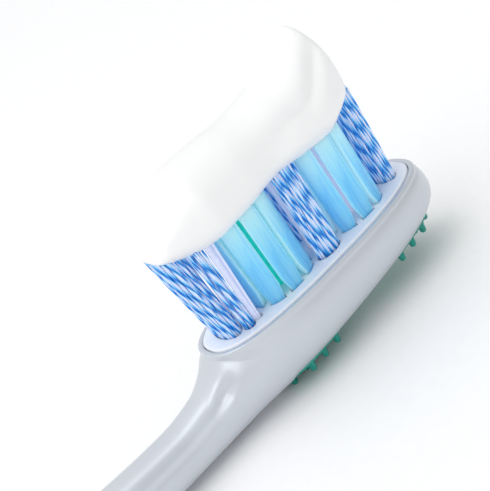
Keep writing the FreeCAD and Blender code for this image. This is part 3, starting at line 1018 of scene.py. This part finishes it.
def paste_rings(sizes):
    """The strip: sections across X, squarish below and round above, whose half width, bottom and top
    follow smooth lines and shrink as an ellipse at both ends. On the near side of the front swell a
    furrow runs between the swell and a rounded lip. The rear end's lower part laps out over the
    strands' tips. What would dip among the tufts is held at their tops."""
    quarter = np.cos(np.linspace(PASTE_POLE, np.pi / 2, PASTE_END_RINGS))
    share = np.concatenate([
        PASTE_FINE[0] * (1 - quarter[:-1]),
        np.linspace(*PASTE_FINE, PASTE_RINGS)[:-1],
        PASTE_FINE[1] + (1 - PASTE_FINE[1]) * quarter[::-1],
    ])[:, None]
    half, low, high = (smooth_line(share, PASTE[:, 0], PASTE[:, k]) for k in (1, 2, 3))
    rear = np.clip(1 - share / PASTE_REAR_ROUND, 0, 1)
    front = np.clip(1 - (1 - share) / PASTE_FRONT_ROUND, 0, 1)
    close = ((1 - rear ** PASTE_END_POWER) * (1 - front ** PASTE_END_POWER)) ** (1 / PASTE_END_POWER)
    centre = PASTE_WIDEST + ((low + high) / 2 - PASTE_WIDEST) * ease(rear + front)
    turn = 2 * np.pi * (np.arange(PASTE_SIDES) + 0.5)[None, :] / PASTE_SIDES
    up = np.sin(turn) > 0
    power = np.where(up, PASTE_HIGH_POWER, PASTE_LOW_POWER)
    reach = np.where(up, high - centre, centre - low) * close
    side = half * close * signed_power(np.cos(turn), 2 / power)
    rise = reach * signed_power(np.sin(turn), 2 / power)
    level = centre + rise
    climb = FURROW_CLIMB * ease((share - FURROW_CLIMB_START) / FURROW_CLIMB_LENGTH)
    above = level - FURROW_LEVEL - climb
    near = ease((share - FURROW_START) / FURROW_GROWTH) * ease((1 - share) / FURROW_FADE)
    near = near * ease(-np.cos(turn) / FURROW_SIDE)
    furrow = sizes.paste_furrow / MM * np.exp(-(above / FURROW_WIDTH) ** 2)
    lip = sizes.paste_lip / MM * np.exp(-((above + LIP_BELOW) / LIP_WIDTH) ** 2)
    ripple = PASTE_RIPPLE * np.sin(9.0 * share + 2.0 * turn) * np.sin(23.0 * share - turn)
    swell = 1 + (near * (lip - furrow) + ripple * close) / PASTE_SIZE
    lap = PASTE_LAP * ease((PASTE_LAP_LEVEL - level) / PASTE_LAP_FADE) * ease(1 - share / PASTE_LAP_REACH)
    x = PASTE_ENDS[0] + share * (PASTE_ENDS[1] - PASTE_ENDS[0]) - lap
    y = side * swell
    z = TUFT_TOP + centre + rise * swell
    spill = oval_distance(x, y, FIELD_HALF[0], FIELD_HALF[1], PLAN_POWER)
    held = TUFT_TOP - PASTE_DIP - PASTE_DROOP * np.clip(1 + spill / PASTE_DROOP_REACH, 0, 1)
    return np.stack([HEAD_X + x, y, np.maximum(z, held)], -1)


# What a user may change


def colour(name, text, value):
    """A colour property in linear values."""
    return bpy.props.FloatVectorProperty(
        name=name, description=text, subtype="COLOR", size=3, min=0, max=1, default=value
    )


def length(name, text, value):
    """A length property; the value is in millimetres."""
    return bpy.props.FloatProperty(
        name=name, description=text, unit="LENGTH", subtype="DISTANCE", default=value * MM
    )


class BrushSizes(bpy.types.PropertyGroup):
    """Fine sizes of the dressed brush."""

    strand_diameter: length("Strand diameter", "Thickness of one filament", 0.255)
    strand_pitch: length("Strand pitch", "Distance between filaments in a tuft", 0.265)
    paste_furrow: length("Paste furrow", "Depth of the furrow up the front swell", 0.5)
    paste_lip: length("Paste lip", "Height of the rounded lip below the furrow", 0.25)
    petal_spread: bpy.props.FloatProperty(
        name="Petal spread",
        description="Share by which a cup widens to its top",
        default=0.015,
        min=0,
        max=0.1,
    )


class BrushColours(bpy.types.PropertyGroup):
    """Colours of the brush's finishes."""

    shell: colour("Shell", "Pearly plastic of the handle and head", (0.60, 0.635, 0.685))
    plate: colour("Plate", "Moulded plate that holds the tufts", (0.86, 0.90, 0.97))
    cup: colour("Cup", "Middle of a petal", (0.23, 0.61, 0.93))
    # Painted light: the pale top of a petal and the painted highlight on its edges
    cup_painted_highlight: colour("Cup top", "Top of a petal", (0.50, 0.82, 0.98))
    # Painted shade: the deeper foot of a petal
    cup_painted_foot_shade: colour("Cup foot", "Foot of a petal", (0.04, 0.38, 0.78))
    stripe_deep: colour("Stripe deep", "Darkest tone of a striped filament", (0.010, 0.19, 0.62))
    stripe_mid: colour("Stripe middle", "Middle blue of a striped filament", (0.07, 0.42, 0.88))
    stripe_sky: colour("Stripe sky", "Light blue of a striped filament", (0.30, 0.66, 0.95))
    stripe_pale: colour("Stripe pale", "Palest tone of a striped filament", (0.66, 0.73, 0.95))
    teal: colour("Teal filament", "Filaments inside the rear cup", (0.012, 0.60, 0.52))
    pale: colour("Pale filament", "Plain pale filaments", (0.62, 0.66, 0.82))
    cleaner: colour("Tongue cleaner", "Rubber pad under the head", (0.010, 0.29, 0.23))
    paste: colour("Paste", "Toothpaste", (0.93, 0.93, 0.925))


# Operators


class BRUSH_OT_handle(bpy.types.Operator):
    """Build the handle with its neck, head shell and rim"""

    bl_idname = "brush.handle"
    bl_label = "Handle"

    def execute(self, context):
        material = shell_material(context.scene.brush_colours)
        body, quads, fans = closed_tube(handle_body())[:3]
        ring = rim_ring()
        ring_quads = grid_faces(ring.shape[0] + 1, ring.shape[1], True)[0]
        ring_quads = ring_quads % (ring.shape[0] * ring.shape[1])
        vertices = np.concatenate([body, ring.reshape(-1, 3)])
        (quads, fans), _ = outward(body, [quads, fans])
        (ring_quads,), _ = outward(ring.reshape(-1, 3) - (HEAD_X, 0, RIM_Z), [ring_quads])
        faces = [np.concatenate([quads, ring_quads + len(body)]), fans]
        make_piece("handle_shell", vertices, faces, material, ["handle"])
        return {"FINISHED"}


class BRUSH_OT_plate(bpy.types.Operator):
    """Finish the bristle plate and the anchors in it"""

    bl_idname = "brush.plate"
    bl_label = "Plate and anchors"

    def execute(self, context):
        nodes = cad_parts
        for name, material in (
            ("bristle_plate", plate_material(context.scene.brush_colours)),
            ("anchor_staples", anchor_material()),
        ):
            nodes[name].data.materials.clear()
            nodes[name].data.materials.append(material)
        return {"FINISHED"}


class BRUSH_OT_cups(bpy.types.Operator):
    """Build both polishing cups out of petals"""

    bl_idname = "brush.cups"
    bl_label = "Polishing cups"

    def execute(self, context):
        material = cup_material(context.scene.brush_colours)
        spread = context.scene.brush_sizes.petal_spread
        for node in ("polishing_cup_rear", "polishing_cup_front"):
            low, high = (np.array(corner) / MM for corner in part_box(node))
            centre, half = (low + high)[:2] / 2, (high - low)[:2] / 2
            vertices, quads, fans, quad_uv = [], [], [], []
            start = 0
            for k in range(PETALS):
                slit_angle = 2 * np.pi * (k + 0.5) / PETALS + np.pi / 2
                rings, share = petal_rings(centre, half / (1 + spread), spread, slit_angle)
                points, faces, ends, corner_c, corner_r = closed_tube(rings)
                vertices.append(points)
                quads.append(faces + start)
                fans.append(ends + start)
                quad_uv.append(np.stack([corner_c / rings.shape[1], share[corner_r]], -1))
                start += len(points)
            vertices, fans = np.concatenate(vertices), np.concatenate(fans)
            on_top = vertices[fans][..., 2] > PLATE_TOP + 1
            fan_uv = np.stack([np.full(fans.shape, 0.5), on_top.astype(float)], -1)
            faces = [np.concatenate(quads), fans]
            uvs = [np.concatenate(quad_uv), fan_uv]
            make_piece(node + "_petals", vertices, faces, material, [node], uvs)
        return {"FINISHED"}


class BRUSH_OT_tufts(bpy.types.Operator):
    """Build every tuft out of its filaments"""

    bl_idname = "brush.tufts"
    bl_label = "Tufts"

    def execute(self, context):
        colours, sizes = context.scene.brush_colours, context.scene.brush_sizes
        # Teal and pale filaments get a stronger painted glow, which lifts their shade
        finishes = {
            "striped_filament": striped_material(colours),
            "teal_filament": plain_filament_material("teal_filament", colours.teal, 0.8, TEAL_PAINTED_GLOW),
            "pale_filament": plain_filament_material("pale_filament", colours.pale, 0.93, PALE_PAINTED_GLOW),
        }
        for seed, (node, half_x, half_y, lean, spread, finish) in enumerate(TUFTS, 1):
            low, high = (np.array(corner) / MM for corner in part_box(node))
            centre = ((low + high) / 2)[:2]
            if lean > 0:
                centre[0] = low[0] + half_x
            elif lean < 0:
                centre[0] = high[0] - half_x
            tubes, phase, winding = tuft_tubes(centre, half_x, half_y, lean, spread, sizes, seed)
            tubes[..., 0] = np.clip(tubes[..., 0], low[0] - TUFT_FLARE, high[0] + TUFT_FLARE)
            vertices, quads, fans, quad_uv, fan_uv = strands_mesh(tubes, phase, winding)
            uvs = [quad_uv, fan_uv]
            make_piece(node + "_strands", vertices, [quads, fans], finishes[finish], [node], uvs)
        return {"FINISHED"}


class BRUSH_OT_cleaner(bpy.types.Operator):
    """Build the tongue cleaner: its pad and its nubs"""

    bl_idname = "brush.cleaner"
    bl_label = "Tongue cleaner"

    def execute(self, context):
        material = cleaner_material(context.scene.brush_colours)
        pad, quads, fans = closed_tube(pad_rings())[:3]
        (quads, fans), _ = outward(pad - pad.mean(0), [quads, fans])
        rings = nub_rings()
        still, steady = np.zeros(len(rings)), np.ones(len(rings))
        nubs, nub_quads, nub_fans = strands_mesh(rings, still, steady)[:3]
        (nub_quads, nub_fans), _ = outward(nubs, [nub_quads, nub_fans])
        vertices = np.concatenate([pad, nubs])
        faces = [
            np.concatenate([quads, nub_quads + len(pad)]),
            np.concatenate([fans, nub_fans + len(pad)]),
        ]
        make_piece("tongue_cleaner_pad", vertices, faces, material, ["tongue_cleaner"])
        return {"FINISHED"}


class BRUSH_OT_paste(bpy.types.Operator):
    """Build the strip of paste on the tufts"""

    bl_idname = "brush.paste"
    bl_label = "Paste"

    def execute(self, context):
        material = paste_material(context.scene.brush_colours)
        vertices, quads, fans = closed_tube(paste_rings(context.scene.brush_sizes))[:3]
        make_piece("paste_strip", vertices, [quads, fans], material, ["toothpaste"])
        return {"FINISHED"}


def placed(side, up, back, place):
    """The matrix of an object whose own X, Y and Z point along side, up and back."""
    rows = [(side[k], up[k], back[k], place[k]) for k in range(3)]
    return Matrix(rows + [(0, 0, 0, 1)])


def area_light(name, place, aim, size, power):
    """A square soft light at place, in metres, turned to aim."""
    lamp = bpy.data.lights.new(name, "AREA")
    lamp.size = size
    lamp.energy = power
    light = bpy.data.objects.new(name, lamp)
    bpy.context.scene.collection.objects.link(light)
    back = np.array(place, float) - np.array(aim, float)
    back /= np.linalg.norm(back)
    side = np.cross((0, 1, 0) if abs(back[2]) > 0.9 else (0, 0, 1), back)
    side /= np.linalg.norm(side)
    light.matrix_world = placed(side, np.cross(back, side), back, place)


def studio_world():
    """A pale sky that brightens towards the upper left behind the brush."""
    world = bpy.data.worlds.new("studio")
    world.use_nodes = True
    tree = world.node_tree
    direction = add(tree, "ShaderNodeTexCoord").outputs["Generated"]
    lean = add(tree, "ShaderNodeVectorMath", operation="DOT_PRODUCT", Vector=direction)
    lean.inputs[1].default_value = SKY_LEAN
    tones = [(0.0, (0.60, 0.61, 0.62)), (0.5, (0.88, 0.885, 0.89)), (1.0, WHITE)]
    sky = tree.nodes["Background"]
    feed(tree, ramp(tree, tones, lean.outputs["Value"]), sky.inputs["Color"])
    sky.inputs["Strength"].default_value = 1.0
    return world


class BRUSH_OT_studio(bpy.types.Operator):
    """Lay the floor, hang the lights and set the camera as in the photograph"""

    bl_idname = "brush.studio"
    bl_label = "Studio"

    def execute(self, context):
        scene = context.scene
        grid = np.linspace(-FLOOR_REACH, FLOOR_REACH, FLOOR_LINES)
        x, y = np.meshgrid(grid, grid)
        points = np.stack([x, y, 0 * x], -1).reshape(-1, 3)
        quads = grid_faces(FLOOR_LINES, FLOOR_LINES, False)[0]
        mesh = bpy.data.meshes.new("floor")
        mesh.from_pydata(points.tolist(), [], quads.tolist())
        mesh.materials.append(floor_material())
        floor = bpy.data.objects.new("floor", mesh)
        scene.collection.objects.link(floor)
        scene.world = studio_world()
        aim = (HEAD_X * MM, 0.0, AIM_HEIGHT)
        for name, place, size, power in LIGHTS:
            area_light(name, (HEAD_X * MM + place[0], place[1], place[2]), aim, size, power)
        scene.view_settings.view_transform = "Standard"
        camera_data = bpy.data.cameras.new("camera")
        camera_data.sensor_fit = "HORIZONTAL"
        camera_data.sensor_width = SENSOR_WIDTH
        camera_data.lens = CAMERA_LENS
        camera_data.clip_start, camera_data.clip_end = CAMERA_CLIP
        camera = bpy.data.objects.new("camera", camera_data)
        scene.collection.objects.link(camera)
        turn, dip, roll = (math.radians(value) for value in (CAMERA_TURN, CAMERA_DIP, CAMERA_ROLL))
        right = np.array([math.cos(turn), -math.sin(turn), 0.0])
        level = np.array([math.sin(turn), math.cos(turn), 0.0])
        ahead = level * math.cos(dip) - np.array([0.0, 0.0, math.sin(dip)])
        up = np.cross(right, ahead)
        across = right * math.cos(roll) - up * math.sin(roll)
        above = right * math.sin(roll) + up * math.cos(roll)
        place = (np.array(CAMERA_PLACE) + np.array([HEAD_X, 0, PLATE_TOP])) * MM
        camera.matrix_world = placed(across, above, -ahead, place)
        scene.camera = camera
        return {"FINISHED"}


class BRUSH_PT_panel(bpy.types.Panel):
    """The brush's pieces and what may be changed on them"""

    bl_idname = "BRUSH_PT_panel"
    bl_label = "Toothbrush"
    bl_space_type = "VIEW_3D"
    bl_region_type = "UI"
    bl_category = "Brush"

    def draw(self, context):
        for group in (context.scene.brush_sizes, context.scene.brush_colours):
            for name in group.__annotations__:
                self.layout.prop(group, name)
        for operator in OPERATORS:
            self.layout.operator(operator.bl_idname)


OPERATORS = (
    BRUSH_OT_handle,
    BRUSH_OT_plate,
    BRUSH_OT_cups,
    BRUSH_OT_tufts,
    BRUSH_OT_cleaner,
    BRUSH_OT_paste,
    BRUSH_OT_studio,
)
CLASSES = (BrushSizes, BrushColours, *OPERATORS, BRUSH_PT_panel)


def register():
    for item in CLASSES:
        bpy.utils.register_class(item)
    bpy.types.Scene.brush_sizes = bpy.props.PointerProperty(type=BrushSizes)
    bpy.types.Scene.brush_colours = bpy.props.PointerProperty(type=BrushColours)


def unregister():
    del bpy.types.Scene.brush_colours
    del bpy.types.Scene.brush_sizes
    for item in reversed(CLASSES):
        bpy.utils.unregister_class(item)


def main():
    """Registers the classes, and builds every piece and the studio."""
    register()
    bpy.ops.brush.handle()
    bpy.ops.brush.plate()
    bpy.ops.brush.cups()
    bpy.ops.brush.tufts()
    bpy.ops.brush.cleaner()
    bpy.ops.brush.paste()
    bpy.ops.brush.studio()


if __name__ == "__main__":
    main()
